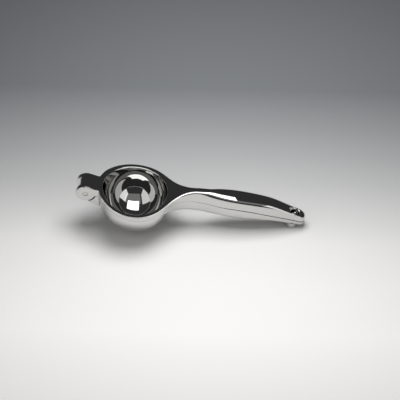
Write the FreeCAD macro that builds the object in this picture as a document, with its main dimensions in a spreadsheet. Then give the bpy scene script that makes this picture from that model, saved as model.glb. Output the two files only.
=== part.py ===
import FreeCAD, Part
import Sketcher
import math
import os
from FreeCAD import Placement, Rotation, Vector

# Hinged lemon squeezer in millimetres, closed and lying as it rests.
# The origin is the flat under the cup, where the squeezer stands.
# X runs from the hinge to the tip of the handles, Y across them and Z up.

SIZES = (
    ("cup_radius", 35.0, "outside of the cup and of the ring above it"),
    ("cup_wall", 2.0, "wall of the cup"),
    ("cup_flat", 4.5, "radius of the flat under the cup"),
    ("bowl_gap", 0.9, "space between the cup and the pressing bowl"),
    ("bowl_wall", 1.7, "wall of the pressing bowl"),
    ("bowl_raise", 1.89, "pressing bowl's centre above the cup's"),
    ("bowl_lip", 1.0, "bevel of the bowl's mouth"),
    ("ring_thickness", 4.6, "ring that sits on the cup's rim"),
    ("flare_angle", 51.0, "where the web leaves the ring, in degrees from the handles"),
    ("edge_bevel", 0.7, "bevel of the ring's outer edge"),
    ("hinge_back", 46.3, "hinge axis behind the cup's centre"),
    ("hinge_rise", 44.7, "height of the hinge axis"),
    ("ear_radius", 9.1, "round end of the fork ears"),
    ("ear_gap", 0.9, "slit round the ears"),
    ("strap_width", 19.2, "strap and fork"),
    ("strap_fillet", 2.5, "corner between strap and ring"),
    ("strap_slope", 23.0, "fall of the strap, in degrees"),
    ("slit_end", 20.0, "end of the slit below the hinge axis, in degrees"),
    ("cap_end", 119.0, "end of the fork's closed top, in degrees"),
    ("bracket_end", 77.0, "lower corner of the bracket below the hinge axis, in degrees"),
    ("bracket_slope", 33.0, "underside of the bracket, in degrees"),
    ("bracket_root", 4.0, "how far the bracket runs into the cup"),
    ("slot_width", 10.0, "gap between the fork ears"),
    ("slot_floor", 6.9, "radius of the fork's hollow"),
    ("knuckle_radius", 6.3, "knuckle between the ears"),
    ("knuckle_side_gap", 0.25, "clearance beside the knuckle"),
    ("neck_root", 1.2, "how far the knuckle's neck runs into the bracket"),
    ("neck_turn", 7.0, "upper side of the knuckle's neck below the slit's end, in degrees"),
    ("neck_span", 35.0, "knuckle's neck where it meets the bracket, in degrees"),
    ("pin_radius", 2.4, "hinge pin"),
    ("pin_fit", 0.05, "running clearance of the pin in the knuckle"),
    ("pin_chamfer", 0.5, "bevel at both ends of the pin"),
    ("rear_back", 28.0, "station behind the cup's centre"),
    ("rear_top", 46.9, "top there"),
    ("middle_top", 40.7, "top over the cup's centre"),
    ("valley_ahead", 18.0, "lowest station of the ring"),
    ("valley_top", 39.5, "top there"),
    ("web_ahead", 36.0, "station on the web"),
    ("web_top", 41.0, "top there"),
    ("web_under", 26.6, "underside of the lower web there"),
    ("web_extra", 0.6, "how much thicker the upper web is there than the ring"),
    ("web_start", 1.4, "start of the lower web's underside below the ring"),
    ("neck_ahead", 54.0, "station of the neck"),
    ("neck_top", 43.2, "top there"),
    ("neck_part", 32.0, "parting line there"),
    ("neck_under", 19.5, "underside there"),
    ("neck_width", 8.6, "width there"),
    ("shoulder_ahead", 80.0, "station of the shoulder"),
    ("shoulder_top", 40.3, "top there"),
    ("shoulder_part", 28.2, "parting line there"),
    ("shoulder_under", 16.0, "underside there"),
    ("shoulder_width", 13.6, "width there"),
    ("grip_ahead", 105.0, "station of the grip"),
    ("grip_top", 35.5, "top there"),
    ("grip_part", 24.6, "parting line there"),
    ("grip_under", 12.9, "underside there"),
    ("grip_width", 16.4, "width there"),
    ("bend_ahead", 130.0, "station of the bend"),
    ("bend_top", 28.9, "top there"),
    ("bend_part", 17.3, "parting line there"),
    ("bend_under", 9.9, "underside there"),
    ("bend_width", 14.0, "width there"),
    ("tail_ahead", 147.0, "station of the tail"),
    ("tail_top", 20.9, "top there"),
    ("tail_part", 12.1, "parting line there"),
    ("tail_under", 6.0, "underside there"),
    ("tail_width", 11.8, "width there"),
    ("tip_ahead", 162.4, "end of the handles before they are rounded in plan"),
    ("tip_trim", 0.4, "what the rounding takes off their length"),
    ("tip_top", 13.6, "top there"),
    ("tip_part", 7.0, "parting line there"),
    ("tip_under", 2.8, "underside there"),
    ("tip_width", 11.2, "width there"),
    ("neck_bevel", 0.9, "bevel of the handles at the neck"),
    ("grip_bevel", 1.9, "bevel of the upper handle at the grip"),
    ("tip_bevel", 1.1, "bevel of the handles at the tip"),
    ("under_bevel", 1.6, "bevel under the lower handle at the grip"),
    ("crown", 0.12, "slope of the handle's crowned face at its corners"),
    ("seat_gap", 0.3, "gap between ring and rim, closed"),
    ("tip_gap", 0.9, "gap between the handles at the tip, closed"),
    ("hang_radius", 3.7, "hang hole through both handles"),
    ("hang_ahead", 149.1, "middle of the foot, where the hole comes out"),
    ("hang_tilt", 13.0, "lean of the hang hole, in degrees"),
    ("hang_bevel", 1.5, "bevel round the top of the hang hole"),
    ("foot_radius", 6.3, "round foot under the lower handle"),
    ("strain_radius", 1.8, "juice holes in the cup"),
    ("strain_inner", 8.0, "inner circle of juice holes"),
    ("strain_outer", 15.5, "outer circle of juice holes"),
    ("strain_count", 6, "juice holes in the inner circle, and half of the outer"),
)

doc = FreeCAD.newDocument("lemon_squeezer")
sheet = doc.addObject("Spreadsheet::Sheet", "Sizes")
for row, (alias, number, meaning) in enumerate(SIZES, start=1):
    sheet.set("A%d" % row, alias)
    sheet.set("B%d" % row, str(number))
    sheet.setAlias("B%d" % row, alias)
    sheet.set("C%d" % row, meaning)
doc.recompute()


def size(alias):
    return float(sheet.get(alias))


def turned(radius, degrees):
    """A point on a circle round the hinge axis, in the side view."""
    angle = math.radians(degrees)
    return Vector(radius * math.cos(angle) - size("hinge_back"),
                  radius * math.sin(angle) + size("hinge_rise"), 0)


hinge = turned(0, 0)
hinge_place = Vector(hinge.x, 0, hinge.y)

# Curves of the side view, which both arms share

STATIONS = ("neck", "shoulder", "grip", "bend", "tail", "tip")


def curve(points, start=None, end=None):
    """A smooth curve through the points, with the two end directions if they are given."""
    result = Part.BSplineCurve()
    if start is None:
        result.interpolate(Points=points)
    else:
        result.interpolate(Points=points, InitialTangent=start, FinalTangent=end, Scale=False)
    return result


def handle_points(what, drop=0.0):
    return [Vector(size(name + "_ahead"), size(name + "_" + what) - drop, 0) for name in STATIONS]


def height(path, x):
    """The height of a side curve at one station, by halving."""
    low = path.FirstParameter
    high = path.LastParameter
    for _ in range(60):
        middle = (low + high) / 2
        if path.value(middle).x < x:
            low = middle
        else:
            high = middle
    return path.value((low + high) / 2).y


def until(path, x):
    """The side curve from its start up to one station."""
    result = path.copy()
    result.segment(path.FirstParameter, path.parameter(Vector(x, height(path, x), 0)))
    return result


def direction(degrees):
    angle = math.radians(degrees)
    return Vector(math.cos(angle), math.sin(angle), 0)


RUN_OUT = -22.0
strap_touch = turned(size("ear_radius"), 90 - size("strap_slope"))
top_points = [strap_touch,
              Vector(-size("rear_back"), size("rear_top"), 0),
              Vector(0, size("middle_top"), 0),
              Vector(size("valley_ahead"), size("valley_top"), 0),
              Vector(size("web_ahead"), size("web_top"), 0)] + handle_points("top")
top_curve = curve(top_points, direction(-size("strap_slope")), direction(RUN_OUT))

ring_drop = size("ring_thickness")
slit_top = turned(size("ear_radius"), -size("slit_end"))
part_points = [slit_top,
               Vector(-size("rear_back"), size("rear_top") - ring_drop, 0),
               Vector(0, size("middle_top") - ring_drop, 0),
               Vector(size("valley_ahead"), size("valley_top") - ring_drop, 0),
               Vector(size("web_ahead"), size("web_top") - ring_drop - size("web_extra"), 0)] + handle_points("part")
part_curve = curve(part_points, direction(0), direction(RUN_OUT))

# The lower arm's top lies the seat gap lower, and the gap widens towards the tip
ear_clear = size("ear_radius") + size("ear_gap")
rim_start = turned(ear_clear, -size("slit_end") - 1.5)


def gap_at(x):
    share = max(0.0, (x - size("neck_ahead")) / (size("tip_ahead") - size("neck_ahead")))
    return size("seat_gap") + share * (size("tip_gap") - size("seat_gap"))


rim_points = [rim_start] + [Vector(p.x, p.y - gap_at(p.x), 0) for p in part_points[1:]]
rim_curve = curve(rim_points, direction(0), direction(RUN_OUT))

# The underside leaves the cup's wall below the rim and sinks to the foot
under_points = [Vector(size("valley_ahead"), size("valley_top") - ring_drop - size("web_start"), 0),
                Vector(size("web_ahead"), size("web_under"), 0)] + handle_points("under")
under_curve = curve(under_points)

# Half widths of the handles along their length
half_curve = curve([Vector(size(name + "_ahead"), size(name + "_width") / 2, 0) for name in STATIONS])

NECK = size("neck_ahead")
TIP = size("tip_ahead")
PAST = (NECK + size("shoulder_ahead")) / 2

# Rough solids reach up to TALL, and cuts reach beyond them on every side
OUTSIDE = 10
TALL = size("hinge_rise") + size("ear_radius") + OUTSIDE
HIGH = TALL + OUTSIDE
TALL_SIZE = "Sizes.hinge_rise + Sizes.ear_radius + %d" % OUTSIDE
FAR = TIP + OUTSIDE
back = -size("hinge_back") - size("ear_radius") - OUTSIDE
outer = back - OUTSIDE

ring = size("cup_radius")
cup_in = ring - size("cup_wall")
cup_mid = math.sqrt(ring ** 2 - size("cup_flat") ** 2)
bowl_out = cup_in - size("bowl_gap")
bowl_in = bowl_out - size("bowl_wall")
bowl_mid = cup_mid + size("bowl_raise")
diagonal = math.sqrt(0.5)


# Bodies, sketches and features

def new_body(label):
    body = doc.addObject("PartDesign::Body", label)
    body.Label = label
    return body


def new_sketch(body, name, role, offset=None):
    sketch = body.newObject("Sketcher::SketchObject", name)
    plane = [item for item in body.Origin.OriginFeatures if item.Role == role][0]
    sketch.AttachmentSupport = [(plane, "")]
    sketch.MapMode = "FlatFace"
    if offset is not None:
        sketch.AttachmentOffset = offset
    return sketch


def outline(sketch, edges):
    """Lays edges end to end in a sketch and holds them where they are."""
    for edge in edges:
        number = sketch.addGeometry(edge, False)
        sketch.addConstraint(Sketcher.Constraint("Block", number))


def line(start, end):
    return Part.LineSegment(start, end)


def lines(*points):
    return [line(a, b) for a, b in zip(points[:-1], points[1:])]


def arc(start, middle, end):
    return Part.Arc(start, middle, end)


def circle(sketch, x, y, radius, names):
    """A circle whose place and radius follow the sheet."""
    number = sketch.addGeometry(Part.Circle(Vector(x, y, 0), Vector(0, 0, 1), radius), False)
    across, up, around = names
    for kind, value, text in (("DistanceX", x, across), ("DistanceY", y, up)):
        if text is None:
            sketch.addConstraint(Sketcher.Constraint("PointOnObject", number, 3, -2 if kind == "DistanceX" else -1))
        elif text.startswith("-"):
            at = sketch.addConstraint(Sketcher.Constraint(kind, number, 3, -1, 1, -value))
            sketch.setExpression("Constraints[%d]" % at, text[1:])
        else:
            at = sketch.addConstraint(Sketcher.Constraint(kind, -1, 1, number, 3, value))
            sketch.setExpression("Constraints[%d]" % at, text)
    at = sketch.addConstraint(Sketcher.Constraint("Radius", number, radius))
    sketch.setExpression("Constraints[%d]" % at, around)
    return number


def feature(body, kind, name, sketch):
    result = body.newObject("PartDesign::" + kind, name)
    result.Profile = sketch
    sketch.Visibility = False
    return result


def pad(body, name, sketch, width, middle=True):
    result = feature(body, "Pad", name, sketch)
    result.Midplane = middle
    result.setExpression("Length", width)
    return result


def cut(body, name, sketch, middle=True, width=None):
    """A pocket to both sides of its sketch, through all or as wide as told, that must remove something."""
    before = volume(body)
    result = feature(body, "Pocket", name, sketch)
    result.Midplane = middle
    if width is None:
        result.Type = "ThroughAll"
    else:
        result.Type = "Length"
        result.setExpression("Length", width)
    if not volume(body) < before - 0.01:
        raise RuntimeError(name + " removes nothing")
    return result


def turn(body, kind, name, sketch):
    result = feature(body, kind, name, sketch)
    result.ReferenceAxis = (sketch, ["V_Axis"])
    result.Angle = 360
    doc.recompute()
    return result


def volume(body):
    doc.recompute()
    return body.Shape.Volume


# Plan of strap, ring and web

def plan_points():
    half = size("strap_width") / 2
    fillet = size("strap_fillet")
    centre_x = -math.sqrt((ring + fillet) ** 2 - (half + fillet) ** 2)
    share = ring / (ring + fillet)
    flare = math.radians(size("flare_angle"))
    leave = Vector(ring * math.cos(flare), ring * math.sin(flare), 0)
    return centre_x, half, fillet, share, leave, flare


def flare_curve(side):
    """From the ring's circle to the neck, on one side."""
    centre_x, half, fillet, share, leave, flare = plan_points()
    waist = Vector(size("web_ahead"), side * leave.y / 2, 0)
    points = [Vector(leave.x, side * leave.y, 0), waist,
              Vector(NECK, side * size("neck_width") / 2, 0)]
    return curve(points, Vector(math.sin(flare), -side * math.cos(flare), 0), Vector(1, 0, 0))


def strap_corner(side):
    """The hollow corner from the strap into the ring: line end, arc middle and ring end."""
    centre_x, half, fillet, share, leave, flare = plan_points()
    centre = Vector(centre_x, side * (half + fillet), 0)
    first = Vector(centre_x, side * half, 0)
    last = centre * share
    bisector = ((first - centre) + (last - centre)).normalize()
    return first, centre + bisector * fillet, last


def crowned(half, flat_side, soft_side, bevel):
    """Half of a crowned face: a bevel up from the side, then a curve that is level at the middle."""
    up = math.copysign(1, soft_side - flat_side)
    inner = half - math.copysign(bevel, half)
    shoulder = soft_side - up * abs(inner) * size("crown") / 2
    crown = Part.BezierCurve()
    crown.setPoles([Vector(inner, shoulder, 0), Vector(inner / 2, soft_side, 0), Vector(0, soft_side, 0)])
    return [line(Vector(half, shoulder - up * bevel, 0), crown.StartPoint), crown.toBSpline()]


def handle_section(half, flat_side, soft_side, bevel):
    """A cross-section of a handle: flat on the parting side, crowned on the outer side."""
    right = crowned(half, flat_side, soft_side, bevel)
    left = crowned(-half, flat_side, soft_side, bevel)
    for piece in left:
        piece.reverse()
    return (lines(Vector(-half, flat_side, 0), Vector(half, flat_side, 0), right[0].StartPoint)
            + right + left[::-1]
            + lines(left[0].EndPoint, Vector(-half, flat_side, 0)))


def bevel_curve(middle):
    return curve([Vector(NECK, size("neck_bevel"), 0), Vector(size("grip_ahead"), size(middle), 0),
                  Vector(TIP, size("tip_bevel"), 0)])


top_bevel_curve = bevel_curve("grip_bevel")
under_bevel_curve = bevel_curve("under_bevel")


def handle_loft(body, upper):
    """The long part of one handle, lofted through its cross-sections from the neck to the tip."""
    sketches = []
    for station in STATIONS:
        x = size(station + "_ahead")
        half = size(station + "_width") / 2
        name = "%s_%s_section" % (body.Label, station)
        sketch = new_sketch(body, name, "YZ_Plane", Placement(Vector(0, 0, x), Rotation()))
        if upper:
            edges = handle_section(half, height(part_curve, x), height(top_curve, x), height(top_bevel_curve, x))
        else:
            edges = handle_section(half, height(rim_curve, x), height(under_curve, x), height(under_bevel_curve, x))
        outline(sketch, edges)
        sketches.append(sketch)
    loft = feature(body, "AdditiveLoft", body.Label + "_handle", sketches[0])
    loft.Sections = sketches[1:]
    for sketch in sketches:
        sketch.Visibility = False
    doc.recompute()
    return loft


def tip_cut(body):
    """Rounds the end of a handle in plan."""
    end = TIP - size("tip_trim")
    half = height(half_curve, end - size("tip_width") / 2)
    start = end - half
    sketch = new_sketch(body, body.Label + "_tip_outline", "XY_Plane")
    outline(sketch, [arc(Vector(start, half, 0), Vector(end, 0, 0), Vector(start, -half, 0))]
            + lines(Vector(start, -half, 0), Vector(start, -ring, 0), Vector(FAR, -ring, 0),
                    Vector(FAR, ring, 0), Vector(start, ring, 0), Vector(start, half, 0)))
    return cut(body, body.Label + "_tip_end", sketch)


def hang_cut(body):
    """The leaning hang hole."""
    lean = Placement(Vector(size("hang_ahead"), 0, 0), Rotation(Vector(0, 1, 0), size("hang_tilt")))
    sketch = new_sketch(body, body.Label + "_hang_circle", "XY_Plane", lean)
    sketch.setExpression("AttachmentOffset.Base.x", "Sizes.hang_ahead")
    circle(sketch, 0, 0, size("hang_radius"), (None, None, "Sizes.hang_radius"))
    return cut(body, body.Label + "_hang_hole", sketch)


def round_edges(body, name, radius, wanted, kind="Fillet"):
    """Rounds the edges of a body that the test picks out."""
    doc.recompute()
    names = ["Edge%d" % (number + 1) for number, edge in enumerate(body.Shape.Edges) if wanted(edge)]
    base = body.Tip
    result = body.newObject("PartDesign::" + kind, name)
    result.Base = (base, names)
    if kind == "Fillet":
        result.setExpression("Radius", radius)
    else:
        result.setExpression("Size", radius)
    doc.recompute()
    print(name, "edges", len(names), "valid", result.isValid())
    return result


def samples(edge):
    first = edge.FirstParameter
    last = edge.LastParameter
    return [edge.valueAt(first + (last - first) * step / 6) for step in range(7)]


# Upper arm: fork, strap, ring with its pressing bowl, web and handle

upper = new_body("upper_arm")

centre_x, half_strap, fillet, share, leave, flare = plan_points()
left_first, left_middle, left_last = strap_corner(-1)
right_first, right_middle, right_last = strap_corner(1)

sketch = new_sketch(upper, "plan", "XY_Plane")
plan = [line(Vector(back, -half_strap, 0), left_first)]
plan += [arc(left_first, left_middle, left_last)]
plan += [arc(left_last, Vector(0, -ring, 0), Vector(leave.x, -leave.y, 0))]
plan += [flare_curve(-1)]
plan += [line(Vector(NECK, -size("neck_width") / 2, 0), Vector(NECK, size("neck_width") / 2, 0))]
plan += [flare_curve(1)]
plan += [arc(Vector(leave.x, leave.y, 0), Vector(0, ring, 0), right_last)]
plan += [arc(right_last, right_middle, right_first)]
plan += [line(right_first, Vector(back, half_strap, 0))]
plan += [line(Vector(back, half_strap, 0), Vector(back, -half_strap, 0))]
outline(sketch, plan)
pad(upper, "plate", sketch, TALL_SIZE, middle=False)

# Everything below the parting line goes; the strap ends on two radial planes of the hinge
sketch = new_sketch(upper, "below", "XZ_Plane")
ring_under = until(part_curve, PAST)
outline(sketch, [ring_under]
        + lines(ring_under.EndPoint, Vector(PAST, -OUTSIDE, 0), Vector(outer, -OUTSIDE, 0),
                Vector(outer, hinge.y, 0), hinge, slit_top))
cut(upper, "underside", sketch)

# The pressing bowl's outside, made tall and trimmed with the top
sketch = new_sketch(upper, "bowl_outside", "XZ_Plane")
outline(sketch, [arc(Vector(0, bowl_mid - bowl_out, 0),
                     Vector(bowl_out * diagonal, bowl_mid - bowl_out * diagonal, 0),
                     Vector(bowl_out, bowl_mid, 0))]
        + lines(Vector(bowl_out, bowl_mid, 0), Vector(bowl_out, TALL, 0),
                Vector(0, TALL, 0), Vector(0, bowl_mid - bowl_out, 0)))
turn(upper, "Revolution", "bowl", sketch)

sketch = new_sketch(upper, "above", "XZ_Plane")
plate_top = until(top_curve, PAST)
outline(sketch, [plate_top]
        + lines(plate_top.EndPoint, Vector(PAST, HIGH, 0), Vector(outer, HIGH, 0),
                Vector(outer, hinge.y, 0), hinge, strap_touch))
cut(upper, "top", sketch)


def on_plate_edge(edge):
    """An outer edge of the plate's top, beside strap, ring or web."""
    for point in samples(edge):
        if point.x > NECK + 0.01 or point.x < strap_touch.x - 0.5:
            return False
        if abs(point.z - height(top_curve, point.x)) > 0.05:
            return False
        if abs(point.y) < 1.0 or math.hypot(point.x, point.y) < bowl_out + 0.5:
            return False
    return abs(samples(edge)[0].y - samples(edge)[-1].y) < 60


round_edges(upper, "plate_bevel", "Sizes.edge_bevel", on_plate_edge, "Chamfer")

# The hollow of the pressing bowl
sketch = new_sketch(upper, "bowl_inside", "XZ_Plane")
outline(sketch, [arc(Vector(0, bowl_mid - bowl_in, 0),
                     Vector(bowl_in * diagonal, bowl_mid - bowl_in * diagonal, 0),
                     Vector(bowl_in, bowl_mid, 0))]
        + lines(Vector(bowl_in, bowl_mid, 0), Vector(bowl_in, HIGH, 0),
                Vector(0, HIGH, 0), Vector(0, bowl_mid - bowl_in, 0)))
turn(upper, "Groove", "bowl_hollow", sketch)


def on_bowl_mouth(edge):
    for point in samples(edge):
        if abs(math.hypot(point.x, point.y) - bowl_in) > 0.05 or point.z < bowl_mid + 0.5:
            return False
    return True


round_edges(upper, "bowl_lip_bevel", "Sizes.bowl_lip", on_bowl_mouth, "Chamfer")

# The ears: a disc with bevelled edges round the hinge axis
sketch = new_sketch(upper, "ear_profile", "XY_Plane", Placement(hinge_place, Rotation()))
sketch.setExpression("AttachmentOffset.Base.x", "-Sizes.hinge_back")
sketch.setExpression("AttachmentOffset.Base.z", "Sizes.hinge_rise")
ear = size("ear_radius")
soft = size("edge_bevel")
outline(sketch, lines(Vector(0, half_strap, 0), Vector(0, -half_strap, 0), Vector(ear - soft, -half_strap, 0),
                      Vector(ear, -half_strap + soft, 0), Vector(ear, half_strap - soft, 0),
                      Vector(ear - soft, half_strap, 0), Vector(0, half_strap, 0)))
turn(upper, "Revolution", "ears", sketch)

# The fork: hollow round the knuckle, open below and behind, closed on top
sketch = new_sketch(upper, "fork_side", "XZ_Plane")
reach = size("ear_radius") + OUTSIDE
slot_start = -size("slit_end")
slot_stop = size("cap_end")
outline(sketch, [arc(turned(size("slot_floor"), slot_start), turned(size("slot_floor"), (slot_start + slot_stop) / 2),
                     turned(size("slot_floor"), slot_stop))]
        + lines(turned(size("slot_floor"), slot_stop), turned(reach, slot_stop))
        + [arc(turned(reach, slot_stop), turned(reach, (slot_start + slot_stop) / 2 + 180),
               turned(reach, slot_start))]
        + lines(turned(reach, slot_start), turned(size("slot_floor"), slot_start)))
cut(upper, "fork_slot", sketch, width="Sizes.slot_width")

sketch = new_sketch(upper, "ear_bore_circle", "XZ_Plane")
circle(sketch, -size("hinge_back"), size("hinge_rise"), size("pin_radius"),
       ("-Sizes.hinge_back", "Sizes.hinge_rise", "Sizes.pin_radius"))
cut(upper, "ear_bore", sketch)

handle_loft(upper, True)
tip_cut(upper)
hang_cut(upper)


# A cone round the top of the hang hole
lean = math.radians(size("hang_tilt"))
mouth = size("tail_top")
for _ in range(20):
    mouth = height(top_curve, size("hang_ahead") + mouth * math.sin(lean)) / math.cos(lean)
sketch = new_sketch(upper, "hang_cone", "XZ_Plane",
                    Placement(Vector(size("hang_ahead"), 0, 0), Rotation(Vector(0, 0, 1), -size("hang_tilt"))))
hole = size("hang_radius")
bevel = size("hang_bevel")
outline(sketch, lines(Vector(0, mouth - bevel, 0), Vector(hole, mouth - bevel, 0),
                      Vector(hole + bevel + OUTSIDE, mouth + OUTSIDE, 0), Vector(0, mouth + OUTSIDE, 0),
                      Vector(0, mouth - bevel, 0)))
turn(upper, "Groove", "hang_bevel_cone", sketch)

# Lower arm: cup with its juice holes, bracket with the knuckle, web, handle and foot

lower = new_body("lower_arm")

sketch = new_sketch(lower, "web_plan", "XY_Plane")
web = [flare_curve(-1)]
web += [line(Vector(NECK, -size("neck_width") / 2, 0), Vector(NECK, size("neck_width") / 2, 0))]
web += [flare_curve(1)]
web += [line(Vector(leave.x, leave.y, 0), Vector(leave.x, -leave.y, 0))]
outline(sketch, web)
pad(lower, "web", sketch, TALL_SIZE, middle=False)

sketch = new_sketch(lower, "web_below", "XZ_Plane")
web_under = until(under_curve, PAST)
web_left = web_under.StartPoint
outline(sketch, [web_under]
        + lines(web_under.EndPoint, Vector(PAST, -OUTSIDE, 0), Vector(web_left.x, -OUTSIDE, 0), web_left))
cut(lower, "web_underside", sketch)


def on_web_edge(edge):
    for point in samples(edge):
        if point.x < ring * 0.6 or point.x > NECK + 0.01 or abs(point.y) < 1:
            return False
        if abs(point.z - height(under_curve, point.x)) > 0.05:
            return False
    return True


round_edges(lower, "web_bevel", "Sizes.neck_bevel", on_web_edge, "Chamfer")

# Bracket block, whose hollow end is shaped with the rim
sketch = new_sketch(lower, "bracket_side", "XZ_Plane")
corner = turned(ear_clear, -size("bracket_end"))
root = size("bracket_root") - ring
fall = (root - corner.x) * math.tan(math.radians(size("bracket_slope")))
outline(sketch, lines(corner, Vector(root, corner.y - fall, 0), Vector(root, TALL, 0),
                      Vector(corner.x, TALL, 0), corner))
pad(lower, "bracket", sketch, "Sizes.strap_width")

# Cup outside, made tall
sketch = new_sketch(lower, "cup_outside", "XZ_Plane")
flat = size("cup_flat")
halfway = math.atan2(cup_mid, flat) / 2
outline(sketch, [arc(Vector(flat, 0, 0), Vector(ring * math.cos(halfway), cup_mid - ring * math.sin(halfway), 0),
                     Vector(ring, cup_mid, 0))]
        + lines(Vector(ring, cup_mid, 0), Vector(ring, TALL, 0), Vector(0, TALL, 0),
                Vector(0, 0, 0), Vector(flat, 0, 0)))
turn(lower, "Revolution", "cup", sketch)

# Rim, slit round the ears and top of the web in one cut
sketch = new_sketch(lower, "rim_side", "XZ_Plane")
rim = until(rim_curve, PAST)
slit_low = turned(ear_clear, -100)
outline(sketch, [rim]
        + lines(rim.EndPoint, Vector(PAST, HIGH, 0),
                Vector(outer, HIGH, 0), Vector(outer, slit_low.y, 0), slit_low)
        + [arc(slit_low, turned(ear_clear, -60), rim_start)])
cut(lower, "rim", sketch)

# Cup inside
sketch = new_sketch(lower, "cup_inside", "XZ_Plane")
outline(sketch, [arc(Vector(0, cup_mid - cup_in, 0),
                     Vector(cup_in * diagonal, cup_mid - cup_in * diagonal, 0),
                     Vector(cup_in, cup_mid, 0))]
        + lines(Vector(cup_in, cup_mid, 0), Vector(cup_in, HIGH, 0), Vector(0, HIGH, 0),
                Vector(0, cup_mid - cup_in, 0)))
turn(lower, "Groove", "cup_hollow", sketch)

# Knuckle and its neck down to the bracket
sketch = new_sketch(lower, "knuckle_side", "XZ_Plane")
knuckle = size("knuckle_radius")
neck_turn = -size("slit_end") - size("neck_turn")
neck_up = turned(knuckle, neck_turn)
neck_down = turned(knuckle, -90)
inner_up = turned(ear_clear + size("neck_root"), neck_turn)
inner_down = turned(ear_clear + size("neck_root"), neck_turn - size("neck_span"))
outline(sketch, [arc(neck_up, turned(knuckle, 120), neck_down)]
        + lines(neck_down, inner_down, inner_up, neck_up))
pad(lower, "knuckle", sketch, "Sizes.slot_width - 2 * Sizes.knuckle_side_gap")

sketch = new_sketch(lower, "knuckle_bore_circle", "XZ_Plane")
circle(sketch, -size("hinge_back"), size("hinge_rise"), size("pin_radius") + size("pin_fit"),
       ("-Sizes.hinge_back", "Sizes.hinge_rise", "Sizes.pin_radius + Sizes.pin_fit"))
cut(lower, "knuckle_bore", sketch)

# Juice holes in two circles, drilled straight down
for times, label in enumerate(("inner", "outer"), start=1):
    alias = "strain_" + label
    sketch = new_sketch(lower, "juice_" + label, "XY_Plane")
    circle(sketch, size(alias), 0, size("strain_radius"), ("Sizes." + alias, None, "Sizes.strain_radius"))
    hole = cut(lower, "juice_hole_" + label, sketch, width="Sizes.cup_radius")
    pattern = lower.newObject("PartDesign::PolarPattern", "juice_holes_" + label)
    pattern.Originals = [hole]
    pattern.Axis = (sketch, ["N_Axis"])
    pattern.Angle = 360
    pattern.Occurrences = int(size("strain_count")) * times
    lower.Tip = pattern
    doc.recompute()

handle_loft(lower, False)
tip_cut(lower)

# Round foot, whose face is on the floor
sketch = new_sketch(lower, "foot_circle", "XY_Plane")
circle(sketch, size("hang_ahead"), 0, size("foot_radius"), ("Sizes.hang_ahead", None, "Sizes.foot_radius"))
pad(lower, "foot", sketch, "Sizes.tail_under + 1", middle=False)
hang_cut(lower)

# Hinge pin, pressed through both ears and flush with them

pin = new_body("hinge_pin")
sketch = new_sketch(pin, "pin_circle", "XZ_Plane")
circle(sketch, -size("hinge_back"), size("hinge_rise"), size("pin_radius"),
       ("-Sizes.hinge_back", "Sizes.hinge_rise", "Sizes.pin_radius"))
pad(pin, "shank", sketch, "Sizes.strap_width")
round_edges(pin, "pin_bevel", "Sizes.pin_chamfer", lambda edge: edge.Closed, "Chamfer")

# Checks, then one file for each piece

doc.recompute()
for item in doc.Objects:
    if "Invalid" in item.State or "Error" in item.State:
        raise RuntimeError("failed feature: " + item.Name + " " + str(item.State))

PIECES = (upper, lower, pin)
for piece in PIECES:
    shape = piece.Shape
    if shape.isNull() or not shape.isValid() or len(shape.Solids) != 1:
        raise RuntimeError("bad shape: %s %d solids" % (piece.Label, len(shape.Solids)))
    box = shape.BoundBox
    print(piece.Label, "volume %.0f mm3" % shape.Volume,
          "box %.1f..%.1f %.1f..%.1f %.1f..%.1f" % (box.XMin, box.XMax, box.YMin, box.YMax, box.ZMin, box.ZMax))

os.makedirs("parts", exist_ok=True)
for piece in PIECES:
    piece.Shape.exportStep("parts/" + piece.Label + ".step")
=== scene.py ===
# %% [markdown]
# # A hinged lemon squeezer
#
# The real thing is two castings in polished chrome on one steel pin. The lower casting is a
# strainer cup with a handle, the upper one a pressing bowl in a ring with a handle of its own.
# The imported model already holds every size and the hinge. What a mirror finish needs beyond that
# is a surface without facets, so this lesson lays a finely gridded skin over each casting.

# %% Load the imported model
import math
import bmesh
import bpy
import numpy as np
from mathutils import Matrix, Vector, geometry


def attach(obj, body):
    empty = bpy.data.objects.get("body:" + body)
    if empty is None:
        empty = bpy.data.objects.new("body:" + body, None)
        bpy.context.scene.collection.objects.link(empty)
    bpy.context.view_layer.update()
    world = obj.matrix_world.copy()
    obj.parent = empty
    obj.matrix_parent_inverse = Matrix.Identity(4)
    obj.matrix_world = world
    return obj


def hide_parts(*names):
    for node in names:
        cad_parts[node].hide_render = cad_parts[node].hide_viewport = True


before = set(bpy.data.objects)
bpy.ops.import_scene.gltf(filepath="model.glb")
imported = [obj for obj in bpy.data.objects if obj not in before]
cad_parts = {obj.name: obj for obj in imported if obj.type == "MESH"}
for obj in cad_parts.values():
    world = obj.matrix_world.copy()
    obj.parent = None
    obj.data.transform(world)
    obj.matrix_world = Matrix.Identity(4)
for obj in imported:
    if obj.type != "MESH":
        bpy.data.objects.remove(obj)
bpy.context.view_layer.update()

# %% [markdown]
# ## Sizes
#
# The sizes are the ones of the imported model, in millimetres. X runs from the hinge to the tip of
# the handles, Z is up, and the origin is the flat under the cup. Both castings share three curves
# in the side view: the top, the parting line and the underside. Names that end in _X are places
# along X where the inner line of the outline, explained below, changes its course.

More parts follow.
